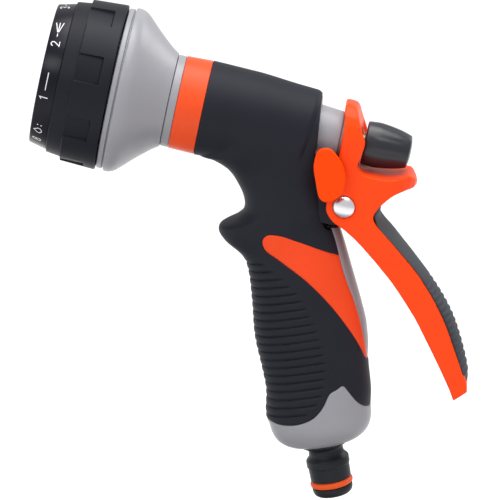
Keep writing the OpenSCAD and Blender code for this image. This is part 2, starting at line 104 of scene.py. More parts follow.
def catmull_rom(a, b, c, d, u):
    """The curve from b to c, at the share u of the way."""
    return ((-u + 2 * u**2 - u**3) * a + (2 - 5 * u**2 + 3 * u**3) * b
            + (u + 4 * u**2 - 3 * u**3) * c + (u**3 - u**2) * d) / 2


def closed_curve(points, steps=8):
    """A smooth curve through a closed outline's points."""
    p = np.array(points, float)
    a, b, c, d = np.roll(p, 1, 0), p, np.roll(p, -1, 0), np.roll(p, -2, 0)
    rows = [catmull_rom(a, b, c, d, u) for u in np.arange(steps) / steps]
    return np.stack(rows, 1).reshape(-1, p.shape[1])


def open_curve(points, steps):
    """A smooth curve through an open row of points."""
    p = np.array(points, float)
    p = np.vstack([2 * p[0] - p[1], p, 2 * p[-1] - p[-2]])
    rows = [catmull_rom(*p[i - 1:i + 3], u) for i in range(1, len(p) - 2)
            for u in np.arange(steps) / steps]
    return np.array(rows + [p[-2]])


def smoothstep(low, high, x):
    u = np.clip((x - low) / (high - low), 0, 1)
    return u * u * (3 - 2 * u)


def add(name, data):
    obj = bpy.data.objects.new(name, data)
    bpy.context.scene.collection.objects.link(obj)
    return obj


def make_object(name, verts, faces, matrix=TO_ROW):
    mesh = bpy.data.meshes.new(name)
    mesh.from_pydata([tuple(v) for v in verts], [], faces)
    mesh.transform(matrix)
    mesh.validate()
    mesh.update()
    return add(name, mesh)


def grid_faces(rows, cols, close_rows=False):
    """Quads of a grid whose columns close on themselves."""
    faces = []
    last = rows if close_rows else rows - 1
    for k in range(last):
        a, b = k * cols, ((k + 1) % rows) * cols
        faces += [(a + i, b + i, b + (i + 1) % cols, a + (i + 1) % cols) for i in range(cols)]
    return faces


def fillet(profile, radii, steps=5):
    """The closed profile with each corner rounded by its radius."""
    p = np.array(profile, float)
    n = len(p)
    if np.isscalar(radii):
        radii = [radii] * n
    out = []
    for i in range(n):
        before, here, after = p[i - 1], p[i], p[(i + 1) % n]
        to_a, to_b = before - here, after - here
        la, lb = np.linalg.norm(to_a), np.linalg.norm(to_b)
        reach = min(radii[i], 0.45 * la, 0.45 * lb)
        a, b = here + to_a / la * reach, here + to_b / lb * reach
        if radii[i] <= 0:
            out.append(here)
            continue
        for u in np.linspace(0, 1, steps):
            out.append((1 - u)**2 * a + 2 * u * (1 - u) * here + u**2 * b)
    return np.array(out)


def turned(name, profile, radii, segments=192, wave=None, matrix=TO_ROW, angles=None):
    """A closed (x, radius) profile turned about the x axis. wave(x, r, angle) shapes it."""
    prof = fillet(profile, radii)
    angle = np.arange(segments) * 2 * math.pi / segments if angles is None else angles
    segments = len(angle)
    x = np.repeat(prof[:, 0], segments)
    r = np.repeat(prof[:, 1], segments)
    a = np.tile(angle, len(prof))
    if wave:
        r = wave(x, r, a)
    verts = np.stack([x, -r * np.cos(a), r * np.sin(a)], 1)
    obj = make_object(name, verts, grid_faces(len(prof), segments, True), matrix)
    fix_normals(obj)
    return obj


def fix_normals(obj):
    bm = bmesh.new()
    bm.from_mesh(obj.data)
    bmesh.ops.recalc_face_normals(bm, faces=bm.faces)
    bm.to_mesh(obj.data)
    bm.free()


def finish_mesh(obj, angle):
    """Smooth shading that keeps edges sharper than the angle."""
    obj.data.shade_smooth()
    obj.data.set_sharp_from_angle(angle=math.radians(angle))


def coords(mesh):
    co = np.empty(len(mesh.vertices) * 3, np.float32)
    mesh.vertices.foreach_get("co", co)
    return co.reshape(-1, 3).astype(float)


def set_coords(mesh, co):
    mesh.vertices.foreach_set("co", co.astype(np.float32).ravel())
    mesh.update()


def barrel_mm(co):
    """Row-frame metres to barrel-frame millimetres."""
    return (co - np.array(BARREL)) / MM


def edges_of(mesh):
    e = np.empty(len(mesh.edges) * 2, np.int32)
    mesh.edges.foreach_get("vertices", e)
    return e.reshape(-1, 2)


def relax(mesh, rounds):
    """Plain averaging with the neighbours, which rounds edges and takes out voxel steps."""
    co, e = coords(mesh), edges_of(mesh)
    n = len(co)
    count = np.bincount(e.ravel(), minlength=n).astype(float)[:, None]
    for _ in range(rounds):
        total = np.stack([np.bincount(e[:, 0], co[e[:, 1], k], n)
                          + np.bincount(e[:, 1], co[e[:, 0], k], n) for k in range(3)], 1)
        co += 0.5 * (total / count - co)
    set_coords(mesh, co)


def apply_modifiers(obj):
    bpy.context.view_layer.update()
    graph = bpy.context.evaluated_depsgraph_get()
    mesh = bpy.data.meshes.new_from_object(obj.evaluated_get(graph))
    obj.modifiers.clear()
    obj.data = mesh


def voxel(obj, size_mm):
    mod = obj.modifiers.new("voxel", "REMESH")
    mod.mode = "VOXEL"
    mod.voxel_size = size_mm * MM
    apply_modifiers(obj)


def combine(obj, other, operation, keep=False):
    """Boolean of two closed meshes; the other one is removed unless it is kept."""
    mod = obj.modifiers.new("combine", "BOOLEAN")
    mod.operation = operation
    mod.solver = "MANIFOLD"
    mod.object = other
    apply_modifiers(obj)
    if not keep:
        bpy.data.objects.remove(other)
    return obj


def copy_of(obj, name):
    return add(name, obj.data.copy())


def slab(name, outline, y0, y1):
    """A side-view outline as a solid from y0 to y1."""
    o = np.array(outline, float)
    area = np.sum(o[:, 0] * np.roll(o[:, 1], -1) - np.roll(o[:, 0], -1) * o[:, 1])
    if area > 0:
        o = o[::-1]
    n = len(o)
    verts = [(p[0], y, p[1]) for y in (y0, y1) for p in o]
    faces = [tuple(range(n))[::-1], tuple(range(n, 2 * n))]
    faces += [(i, (i + 1) % n, n + (i + 1) % n, n + i) for i in range(n)]
    obj = make_object(name, verts, faces)
    fix_normals(obj)
    return obj


def rod(name, start, end, radius, segments=96):
    """A plain cutting cylinder between two points."""
    a, b = np.array(start, float), np.array(end, float)
    axis = (b - a) / np.linalg.norm(b - a)
    side = np.cross(axis, [0, 1, 0]) if abs(axis[1]) < 0.9 else np.cross(axis, [1, 0, 0])
    side /= np.linalg.norm(side)
    up = np.cross(axis, side)
    ang = np.arange(segments) * 2 * math.pi / segments
    ring = radius * (np.cos(ang)[:, None] * side + np.sin(ang)[:, None] * up)
    verts = np.concatenate([a + ring, b + ring])
    n = segments
    faces = [tuple(range(n)), tuple(range(2 * n - 1, n - 1, -1))]
    faces += [(i, n + i, n + (i + 1) % n, (i + 1) % n) for i in range(n)]
    obj = make_object(name, verts, faces)
    fix_normals(obj)
    return obj


# ---------------------------------------------------------------- materials
def node(tree, kind, **values):
    n = tree.nodes.new(kind)
    for key, value in values.items():
        setattr(n, key, value)
    return n


def plastic(name, color, rough, grain, grain_size, shade=0.06, scatter=0.0, rough_range=0.06,
            specular=0.5):
    """Moulded plastic or rubber: faint blotches of colour, uneven gloss and a fine skin grain.
    grain is its depth and grain_size its pitch, in millimetres."""
    mat = bpy.data.materials.new(name)
    mat.use_nodes = True
    tree = mat.node_tree
    shader = tree.nodes["Principled BSDF"]
    link = tree.links.new
    place = node(tree, "ShaderNodeTexCoord")
    cloud = node(tree, "ShaderNodeTexNoise")
    cloud.inputs["Scale"].default_value = 60
    cloud.inputs["Detail"].default_value = 5
    link(place.outputs["Object"], cloud.inputs["Vector"])
    ramp = node(tree, "ShaderNodeValToRGB")
    for k, gain in ((0, 1 - shade), (1, 1 + shade)):
        ramp.color_ramp.elements[k].position = 0.3 + 0.4 * k
        ramp.color_ramp.elements[k].color = [min(c * gain, 1) for c in color] + [1]
    link(cloud.outputs["Fac"], ramp.inputs["Fac"])
    link(ramp.outputs["Color"], shader.inputs["Base Color"])
    gloss = node(tree, "ShaderNodeMapRange")
    gloss.inputs["To Min"].default_value = max(rough - rough_range, 0.02)
    gloss.inputs["To Max"].default_value = rough + rough_range
    link(cloud.outputs["Fac"], gloss.inputs["Value"])
    link(gloss.outputs["Result"], shader.inputs["Roughness"])
    skin = node(tree, "ShaderNodeTexNoise")
    skin.inputs["Scale"].default_value = 1 / (grain_size * MM)
    skin.inputs["Detail"].default_value = 3
    skin.inputs["Roughness"].default_value = 0.6
    link(place.outputs["Object"], skin.inputs["Vector"])
    bump = node(tree, "ShaderNodeBump")
    bump.inputs["Strength"].default_value = 1
    bump.inputs["Distance"].default_value = grain * MM
    link(skin.outputs["Fac"], bump.inputs["Height"])
    link(bump.outputs["Normal"], shader.inputs["Normal"])
    shader.inputs["Subsurface Weight"].default_value = scatter
    shader.inputs["Subsurface Radius"].default_value = (0.002, 0.0008, 0.0004)
    shader.inputs["Specular IOR Level"].default_value = specular
    return mat


def metal(name, color, rough, brushed=0.0):
    """Metal with fine smudges, and turning marks where it is brushed."""
    mat = bpy.data.materials.new(name)
    mat.use_nodes = True
    tree = mat.node_tree
    shader = tree.nodes["Principled BSDF"]
    link = tree.links.new
    shader.inputs["Metallic"].default_value = 1
    shader.inputs["Base Color"].default_value = (*color, 1)
    place = node(tree, "ShaderNodeTexCoord")
    smudge = node(tree, "ShaderNodeTexNoise")
    smudge.inputs["Scale"].default_value = 300
    smudge.inputs["Detail"].default_value = 6
    link(place.outputs["Object"], smudge.inputs["Vector"])
    gloss = node(tree, "ShaderNodeMapRange")
    gloss.inputs["To Min"].default_value = rough * 0.7
    gloss.inputs["To Max"].default_value = rough * 1.5
    link(smudge.outputs["Fac"], gloss.inputs["Value"])
    link(gloss.outputs["Result"], shader.inputs["Roughness"])
    if brushed:
        stretch = node(tree, "ShaderNodeMapping")
        stretch.inputs["Scale"].default_value = (9000, 300, 300)
        lines = node(tree, "ShaderNodeTexNoise")
        lines.inputs["Scale"].default_value = 1
        bump = node(tree, "ShaderNodeBump")
        bump.inputs["Distance"].default_value = brushed * MM
        link(place.outputs["Object"], stretch.inputs["Vector"])
        link(stretch.outputs["Vector"], lines.inputs["Vector"])
        link(lines.outputs["Fac"], bump.inputs["Height"])
        link(bump.outputs["Normal"], shader.inputs["Normal"])
    return mat


MATERIALS = {
    "soft_dark": plastic("soft_dark", (0.0120, 0.0130, 0.0193), 0.52, 0.030, 0.28,
                         rough_range=0.05, specular=0.14),
    "pad_dark": plastic("pad_dark", (0.026, 0.030, 0.038), 0.56, 0.035, 0.3, specular=0.2),
    "grip_rubber": plastic("grip_rubber", (0.0062, 0.0068, 0.0120), 0.46, 0.020, 0.3,
                           specular=0.17),
    "dial_black": plastic("dial_black", (0.004, 0.004, 0.009), 0.26, 0.004, 0.5, specular=0.17),
    "abs_grey": plastic("abs_grey", (0.262, 0.262, 0.284), 0.33, 0.005, 0.35, shade=0.025,
                        scatter=0.03, specular=0.4),
    "inlay_orange": plastic("inlay_orange", (0.78, 0.060, 0.013), 0.42, 0.012, 0.3, shade=0.04,
                            specular=0.13),
    "ring_orange": plastic("ring_orange", (0.74, 0.070, 0.015), 0.34, 0.006, 0.3, shade=0.04,
                           specular=0.16),
    "trigger_orange": plastic("trigger_orange", (0.95, 0.059, 0.004), 0.34, 0.007, 0.3,
                              shade=0.03, specular=0.13),
    "lock_orange": plastic("lock_orange", (0.90, 0.057, 0.0), 0.38, 0.006, 0.3, shade=0.02,
                           specular=0.08),
    "knob_dark": plastic("knob_dark", (0.0135, 0.0145, 0.0205), 0.30, 0.008, 0.3, specular=0.42),
    "spigot_dark": plastic("spigot_dark", (0.0100, 0.0115, 0.0155), 0.42, 0.010, 0.3,
                           specular=0.2),
    "seal_black": plastic("seal_black", (0.015, 0.015, 0.016), 0.6, 0.01, 0.3, specular=0.3),
    "seal_orange": plastic("seal_orange", (0.74, 0.085, 0.012), 0.42, 0.006, 0.3,
                           specular=0.2),
    "acetal": plastic("acetal", (0.72, 0.72, 0.68), 0.4, 0.005, 0.3, shade=0.02),
    "mark_white": plastic("mark_white", (0.66, 0.66, 0.69), 0.45, 0.004, 0.2, shade=0.03),
    "steel": metal("steel", (0.56, 0.57, 0.58), 0.3, 0.004),
    "chrome": metal("chrome", (0.74, 0.74, 0.78), 0.24),
    "brass": metal("brass", (0.50, 0.30, 0.10), 0.42, 0.004),
}
SLOT_OF = {s["node"]: s["material_slot"] for s in frame["record"]["subparts"]}


def dress(obj, slot):
    obj.data.materials.clear()
    obj.data.materials.append(MATERIALS[slot])


def stand_for(obj, cad_node, body):
    """The piece takes the CAD node's place, its finish and its body."""
    dress(obj, SLOT_OF[cad_node])
    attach(obj, body)
    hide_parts(cad_node)


def dress_cad_nodes():
    for name, obj in frame["nodes"].items():
        obj.data.materials.clear()
        obj.data.materials.append(MATERIALS[SLOT_OF[name]])
        for poly in obj.data.polygons:
            poly.use_smooth = True
        obj.data.set_sharp_from_angle(angle=math.radians(32))


# ---------------------------------------------------------------- skin of barrel and handle
BARREL_CURVE = [(20, 18.75), (36.5, 18.75), (50, 18.4), (57, 18.15), (70, 17), (77.4, 16.5),
                (81.6, 16.15), (84, 15.8), (92, 15)]
BLEND = 6.0  # how far the barrel's and handle's surfaces flow into each other


def to_handle(p):
    """How far points lie down the handle's axis, and behind it."""
    q = p - np.array([HANDLE_X, 0, 0])
    return q @ HANDLE_AXIS, q @ HANDLE_BACK


def handle_level(p):
    """Below zero inside the handle, roughly in millimetres."""
    s, t = to_handle(p)
    clipped = np.clip(s, -2, BASE_S)
    front, back = smooth_at(FRONT_EDGE, clipped), smooth_at(BACK_EDGE, clipped)
    side = smooth_at(HALF_WIDTH, clipped)
    half = (back - front) / 2
    rho = ((np.abs(t - (back + front) / 2) / half)**SECTION_POWER
           + (np.abs(p[:, 1]) / side)**SECTION_POWER)**(1 / SECTION_POWER)
    end = np.maximum((s - BASE_S + BASE_ROUND) / BASE_ROUND, 0) + np.maximum((7 - s) / 11, 0)
    level = (rho**BASE_POWER + end**BASE_POWER)**(1 / BASE_POWER)
    return (level - 1) * np.minimum(half, side)


def barrel_level(p):
    """Below zero inside the barrel, in millimetres."""
    return np.hypot(p[:, 1], p[:, 2]) - smooth_at(BARREL_CURVE, np.clip(p[:, 0], 20, 92))


def level_and_slope(level, p, step=0.02):
    """A level turned into a distance, and its direction."""
    value = level(p)
    grad = np.empty_like(p)
    for k in range(3):
        shift = np.zeros(3)
        shift[k] = step
        grad[:, k] = (level(p + shift) - level(p - shift)) / (2 * step)
    size = np.maximum(np.linalg.norm(grad, axis=1), 1e-6)
    return value / size, grad / size[:, None]


def skin(p):
    """Distance from the blended skin of handle and barrel, and its direction."""
    h, nh = level_and_slope(handle_level, p)
    b, nb = level_and_slope(barrel_level, p)
    blend = np.maximum(BLEND * smoothstep(42, 56, p[:, 0]), 0.05)
    near = np.maximum(blend - np.abs(h - b), 0) / blend
    share = np.where(h < b, 1 - near / 2, near / 2)[:, None]
    n = nh * share + nb * (1 - share)
    n /= np.linalg.norm(n, axis=1)[:, None]
    return np.minimum(h, b) - near**2 * blend / 4, n


def settle(obj, depth=0.0, rounds=4):
    """Moves every vertex onto the skin, or a surface that deep below it."""
    co = barrel_mm(coords(obj.data))
    for _ in range(rounds):
        d, n = skin(co)
        co -= n * np.clip(d + depth, -1.5, 1.5)[:, None]
    set_coords(obj.data, co * MM + np.array(BARREL))


def rough_skin(name, inset=0.0):
    """Handle and barrel as plain closed solids, joined."""
    levels = np.concatenate([np.arange(-2, 120, 1.5), BASE_S - BASE_ROUND * (1 - np.sin(
        np.linspace(0, math.pi / 2 - 0.02, 18)))])
    levels = np.unique(np.round(levels, 3))
    front, back = smooth_at(FRONT_EDGE, levels), smooth_at(BACK_EDGE, levels)
    side = smooth_at(HALF_WIDTH, levels)
    end = np.clip((levels - BASE_S + BASE_ROUND) / BASE_ROUND, 0, 1)
    dome = np.maximum(1 - end**BASE_POWER, 0)**(1 / BASE_POWER)
    a = np.arange(RING_POINTS) * 2 * math.pi / RING_POINTS
    bow = lambda v: np.sign(v) * np.abs(v)**(2 / SECTION_POWER)
    half = np.maximum((back - front) / 2 * dome - inset, 0.5)
    t = ((back + front) / 2)[:, None] + half[:, None] * bow(np.cos(a))
    y = np.maximum(side * dome - inset, 0.5)[:, None] * bow(np.sin(a))
    p = (levels[:, None, None] * HANDLE_AXIS + t[:, :, None] * HANDLE_BACK
         + y[:, :, None] * np.array([0, 1, 0]) + np.array([HANDLE_X, 0, 0]))
    n = RING_POINTS
    faces = grid_faces(len(levels), n)
    faces += [tuple(range(n)), tuple(range((len(levels) - 1) * n, len(levels) * n))]
    obj = make_object(name, p.reshape(-1, 3), faces)
    fix_normals(obj)
    x = np.arange(30, 90.1, 1.5)
    r = smooth_at(BARREL_CURVE, x) - inset
    tube = turned(name + "_tube", [(x[0], 0.01)] + list(zip(x, r)) + [(x[-1], 0.01)], 0)
    return combine(obj, tube, "UNION")


def refine(obj, wanted):
    """Splits each face whose centre is wanted into four."""
    bm = bmesh.new()
    bm.from_mesh(obj.data)
    centres = barrel_mm(np.array([f.calc_center_median() for f in bm.faces]))
    pick = wanted(centres)
    edges = {e for f, yes in zip(bm.faces, pick) if yes for e in f.edges}
    bmesh.ops.subdivide_edges(bm, edges=list(edges), cuts=1, use_grid_fill=True)
    bm.to_mesh(obj.data)
    bm.free()


# Side-view outlines (x, z) of the base, the grey spine and the orange inlay.
BASE_EDGE = [(80, -119.6), (84, -118.6), (87.7, -117.6), (91.5, -117), (95, -116),
             (98.6, -114.5), (101.8, -112.5), (104.6, -110), (106.5, -106.8), (107.6, -103.8),
             (108.3, -100.3), (109.3, -98.4), (111, -97), (112.3, -95.6), (113.3, -95.1),
             (114.4, -95.8), (116.5, -97.7), (119.1, -100.1), (122, -102.1), (124.5, -103.3),
             (127, -104), (134, -104.4)]
SPINE_EDGE = [(93.6, -30), (95.4, -34.6), (97.7, -38.6), (99.4, -41.9), (102.8, -48.9),
              (106, -54.6), (109.6, -60.4), (112.9, -66.2), (115.7, -72.1), (118.1, -77.8),
              (119.8, -82.6), (120.9, -86)]
INLAY = [(70, -44.9), (70.3, -43), (71.6, -41.6), (74.2, -41), (77.8, -40.9), (82, -41.4),
         (87.2, -42.1), (92.4, -43), (96.6, -43.8), (100.4, -44.6), (104, -46), (122.5, -78),
         (122.5, -86.6), (119.5, -83.7), (117.3, -80.2), (113.8, -75.7), (109.9, -71.5),
         (105.4, -67.2), (101.1, -63.6), (96.2, -60), (91.5, -57), (86.9, -54.5), (81.8, -52.2),
         (77.2, -50.2), (73.3, -48.8), (71.2, -47.3)]
LOCK_OVAL = [(83, -6.5), (83.6, -2.8), (86.7, -1.1), (89.8, -2), (93.7, -5.8), (96.3, -10.8),
             (96.8, -14.5), (95.9, -18.4), (92.9, -21.3), (90, -22.1), (87.6, -20.5),
             (85.1, -14.6), (83.4, -10.1)]


BASE_LINE = open_curve(BASE_EDGE, 3)
SPINE_LINE = open_curve(SPINE_EDGE, 3)
BASE_OUTLINE = np.vstack([BASE_LINE, [(140, -104.4), (140, -142), (76, -142), (76, -120)]])
SPINE_OUTLINE = np.vstack([SPINE_LINE, [(132, -86), (132, -30)]])
INLAY_OUTLINE = closed_curve(INLAY, 3)
LOCK_OUTLINE = closed_curve(LOCK_OVAL, 6)


def grown(outline, by):
    """The outline moved outwards by that much."""
    o = np.array(outline, float)
    side = np.roll(o, -1, 0) - np.roll(o, 1, 0)
    side /= np.maximum(np.linalg.norm(side, axis=1), 1e-9)[:, None]
    turn = np.sum(o[:, 0] * np.roll(o[:, 1], -1) - np.roll(o[:, 0], -1) * o[:, 1])
    out = np.stack([side[:, 1], -side[:, 0]], 1) * np.sign(turn)
    return o + by * out


def line_distance(p, line, closed=False):
    """Side-view distance of points from a row of points joined by straight pieces."""
    q = p[:, [0, 2]]
    a = np.asarray(line)
    b = np.roll(a, -1, 0) if closed else a[1:]
    a = a if closed else a[:-1]
    best = np.full(len(q), 1e9)
    for s, e in zip(a, b):
        seg = e - s
        u = np.clip((q - s) @ seg / max(seg @ seg, 1e-12), 0, 1)
        best = np.minimum(best, np.linalg.norm(q - s - u[:, None] * seg, axis=1))
    return best


# The soft grip's ribs: where each groove ends, counted from the front, down the handle.
GROOVE_ENDS = [(51, -13), (54.3, -9.8), (57.9, -6.1), (61.4, -2.8), (64.8, -0.5), (68.1, 1.8),
               (71.8, 3.6), (74.9, 4.5), (78.3, 5.4), (81.5, 6.2), (85.1, 6.8), (91.1, 7.4),
               (98.2, 7.3), (104.1, 6.3), (107.1, 5.3), (110.4, 3.6), (113.6, 1.1),
               (116.6, -3.1), (120, -9)]
GROOVE_FIRST, GROOVE_LAST, GROOVES = 54.3, 116.6, 20
RIB_DEPTH = 1.0


def rib_dip(p):
    """How far the ribbed grip lies below the plain skin."""
    s, t = to_handle(p)
    pitch = (GROOVE_LAST - GROOVE_FIRST) / (GROOVES - 1)
    k = (s - GROOVE_FIRST) / pitch
    off = np.abs(k - np.round(np.clip(k, 0, GROOVES - 1))) * 2
    crest = np.sqrt(np.clip(1 - (1 - np.clip(off, 0, 1))**2.4, 0, 1))
    end = smooth_at(GROOVE_ENDS, np.clip(s, 51, 120))
    return RIB_DEPTH * (1 - crest) * smoothstep(-1.6, 1.6, end - t)


def in_rib_zone(p):
    s, t = to_handle(p)
    end = smooth_at(GROOVE_ENDS, np.clip(s, 51, 120))
    spare = 2.5
    return (s > GROOVE_FIRST - spare) & (s < GROOVE_LAST + spare) & (t < end + spare)


def push_in(obj, depth_of):
    """Moves the vertices on the skin inwards by depth_of(points)."""
    co = barrel_mm(coords(obj.data))
    d, n = skin(co)
    outer = np.abs(d) < 0.35
    move = np.zeros(len(co))
    move[outer] = depth_of(co[outer])
    set_coords(obj.data, (co - n * move[:, None]) * MM + np.array(BARREL))


def soft_edge(lines):
    """Depth of a rounded edge along side-view lines, given as (line, closed) pairs."""
    width, depth = 0.7, 0.3

    def depth_of(p):
        near = np.min([line_distance(p, line, closed) for line, closed in lines], axis=0)
        return depth * (1 - np.clip(near / width, 0, 1))**2
    return depth_of


def near_seam(p):
    best = np.minimum(line_distance(p, BASE_LINE), line_distance(p, SPINE_LINE))
    return np.minimum(best, line_distance(p, INLAY_OUTLINE, True)) < 1.1


def half_space_box(name, corner, size, lean=0.0):
    """A box from a corner, leant back about the y axis, for cutting."""
    x, y, z = size
    verts = [(i * x, (j - 0.5) * y, k * z) for i in (0, 1) for j in (0, 1) for k in (0, 1)]
    faces = [(0, 1, 3, 2), (4, 6, 7, 5), (0, 4, 5, 1), (2, 3, 7, 6), (0, 2, 6, 4), (1, 5, 7, 3)]
    turn = Matrix.Rotation(lean, 4, "Y")
    obj = make_object(name, verts, faces, TO_ROW @ Matrix.Translation(corner) @ turn)
    fix_normals(obj)
    return obj


SEAM_GAP, BUTTON_GAP = 0.12, 0.35
WIDE = 60  # reaches past both sides


def at(place, y):
    """A point of the side view at that depth."""
    return (place[0], y, place[1])


def rear_cut():
    cut = half_space_box("rear_cut", at(REAR_EDGE, 0), (40, WIDE, 60), -REAR_LEAN)
    cut.data.transform(Matrix.Translation(
        Vector((math.sin(REAR_LEAN), 0, -math.cos(REAR_LEAN))) * 20 * MM))
    return cut


def rear_corner(p):
    """Depth of the barrel's rounded rear edge."""
    gap = ((REAR_EDGE[0] - p[:, 0]) * math.cos(REAR_LEAN)
           + (p[:, 2] - REAR_EDGE[1]) * math.sin(REAR_LEAN))
    return smoothstep(-12, -4, p[:, 2]) * 1.1 * (1 - np.clip(gap / 2.4, 0, 1))**2


def build_skin_parts():
    """The soft cover, the grey core with base and spine, and the two inlays."""
    outer = rough_skin("outer")
    voxel(outer, 0.62)
    settle(outer)
    refine(outer, lambda p: in_rib_zone(p) | near_seam(p) | ((p[:, 0] > 77) & (p[:, 2] > -8)))
    settle(outer, rounds=2)
    inner = rough_skin("inner", COVER_T)
    voxel(inner, 1.1)
    settle(inner, COVER_T)

    cover = copy_of(outer, "soft_cover")
    push_in(cover, rib_dip)
    for cut in (half_space_box("front_cut", (0, 0, -40), (COVER_X, 100, 80)),
                slab("base_cut", grown(BASE_OUTLINE, SEAM_GAP), -WIDE, WIDE),
                slab("spine_cut", grown(SPINE_OUTLINE, SEAM_GAP), -WIDE, WIDE),
                slab("inlay_cut", grown(INLAY_OUTLINE, SEAM_GAP / 2), -WIDE, WIDE),
                rear_cut(),
                rod("lock_cut", at(LOCK, -WIDE), at(LOCK, WIDE), 2.9),
                slab("button_room", grown(LOCK_OUTLINE, BUTTON_GAP), -WIDE, -12.6),
                slab("button_room", grown(LOCK_OUTLINE, BUTTON_GAP), 13, WIDE),
                rod("pivot_cut", at(PIVOT, -WIDE), at(PIVOT, WIDE), 9.2),
                slab("neck_cut", [(76, -12), (80.6, -5), (95, -5), (95, -36), (80, -30)],
                     -9.25, 9.25)):
        combine(cover, cut, "DIFFERENCE")
    combine(cover, inner, "DIFFERENCE", keep=True)
    push_in(cover, soft_edge([(BASE_LINE, False), (SPINE_LINE, False), (INLAY_OUTLINE, True)]))
    push_in(cover, rear_corner)

    core = copy_of(inner, "grey_core")
    settle(core, COVER_T + 0.05, 1)
    combine(core, half_space_box("front_cut", (0, 0, -40), (COVER_X + 0.1, 100, 80)),
            "DIFFERENCE")
    for outline in (BASE_OUTLINE, SPINE_OUTLINE):
        part = copy_of(outer, "part")
        combine(part, slab("region", outline, -WIDE, WIDE), "INTERSECT")
        combine(core, part, "UNION")
    combine(core, rear_cut(), "DIFFERENCE")
    combine(core, rod("barrel_front", (NECK_RING_X, 0, 0), (COVER_X + 5, 0, 0), 16.3), "UNION")
    combine(core, slab("boss", closed_curve(
        [(76, -12), (82.5, -10.7), (90.6, -10.9), (93.2, -14.5), (98.2, -15.9), (103.4, -17.8),
         (106, -21.8), (106, -26.1), (103.4, -30.1), (98.4, -31.9), (93, -33), (80, -30)]),
        -9.2, 9.2), "UNION")
    for cut in (rod("neck_bore", (20, 0, 0), (41.9, 0, 0), 14.05),
                rod("web_bore", (30, 0, 0), (50, 0, 0), 7),
                rod("chamber", (44, 0, 0), (100, 0, 0), 10.5),
                rod("bonnet_room", (BARREL_REAR_X, 0, 0), (100, 0, 0), 11.3),
                rod("tube_bore", handle_point(0), handle_point(128), 6.55),
                rod("socket", handle_point(124), handle_point(140), 9.05),
                rod("flange_room", handle_point(132.2), handle_point(140), 10.1),
                rod("pin_bore", at(PIVOT, -20), at(PIVOT, 20), 3.1),
                rod("bolt_bore", at(LOCK, -20), at(LOCK, 20), 2.55)):
        combine(core, cut, "DIFFERENCE")
    for side in (-1, 1):
        combine(core, rod("ear_room", at(PIVOT, side * 9.2), at(PIVOT, side * 29.2), 9),
                "DIFFERENCE")
    push_in(core, soft_edge([(BASE_LINE, False), (SPINE_LINE, False)]))

    stand_for(core, "body_core", "root")
    core.data.materials.append(MATERIALS["soft_dark"])
    mid = barrel_mm(np.array([poly.center for poly in core.data.polygons]))
    boss = (mid[:, 0] > 84) & (np.abs(mid[:, 1]) < 9.3) & (mid[:, 2] > -35) & (mid[:, 2] < -10)
    core.data.polygons.foreach_set("material_index", boss.astype(np.int32))
    stand_for(cover, "grip_cover", "root")
    for side, word in ((1, "left"), (-1, "right")):
        inlay = copy_of(outer, "inlay_panel_" + word)
        ends = (0.5, WIDE) if side > 0 else (-WIDE, -0.5)
        combine(inlay, slab("region", INLAY_OUTLINE, *ends), "INTERSECT")
        combine(inlay, slab("spine_cut", grown(SPINE_OUTLINE, SEAM_GAP), -WIDE, WIDE),
                "DIFFERENCE")
        combine(inlay, inner, "DIFFERENCE", keep=True)
        push_in(inlay, soft_edge([(SPINE_LINE, False), (INLAY_OUTLINE, True)]))
        stand_for(inlay, "inlay_" + word, "root")
        finish_mesh(inlay, 50)
    finish_mesh(core, 50)
    finish_mesh(cover, 50)
    for spare in (outer, inner):
        bpy.data.objects.remove(spare)


def handle_point(s):
    """The point that far down the handle's axis."""
    p = np.array([HANDLE_X, 0, 0]) + s * HANDLE_AXIS
    return (p[0], 0, p[2])


# ---------------------------------------------------------------- turned parts and the dial
def join(name, parts):
    """Several meshes as one object."""
    bm = bmesh.new()
    for part in parts:
        bm.from_mesh(part.data)
        bpy.data.objects.remove(part)
    mesh = bpy.data.meshes.new(name)
    bm.to_mesh(mesh)
    bm.free()
    return add(name, mesh)


def place_turned(name, profile, radii, cad_node, body, angle=35, **more):
    obj = turned(name, profile, radii, **more)
    stand_for(obj, cad_node, body)
    finish_mesh(obj, angle)


BLOCKS = 8
WINDOW_TURN, WINDOW_HALF = 23.7, 9.75  # degrees above the camera side, half the width
RING_STEP, WINDOW_END, WINDOW_FLOOR = -14.4, -4.8, 31.4


def window_wave(x, r, a):
    """Lowers the grip ring's blocks into flat windows."""
    off = (np.degrees(a) - WINDOW_TURN + 22.5) % 45 - 22.5
    across = 1 - smoothstep(WINDOW_HALF - 0.35, WINDOW_HALF + 0.35, np.abs(off))
    along = 1 - smoothstep(WINDOW_END - 0.2, WINDOW_END + 0.25, x)
    inside = (r > WINDOW_FLOOR) & (x > RING_STEP - 0.05)
    return np.where(inside, r - (r - WINDOW_FLOOR) * across * along, r)


def window_angles():
    """Angles for the turned ring, closer together at the windows' edges."""
    marks = np.array([-1.2, -0.6, -0.35, -0.2, 0, 0.2, 0.35, 0.6, 1.2])
    rows = []
    for k in range(BLOCKS):
        middle = WINDOW_TURN + 45 * k
        for edge in (-WINDOW_HALF, WINDOW_HALF):
            rows.append(middle + edge + marks)
        rows.append(middle + np.linspace(-8, 8, 12))
        rows.append(middle + 22.5 + np.linspace(-11, 11, 16))
    return np.radians(np.sort(np.concatenate(rows) % 360))


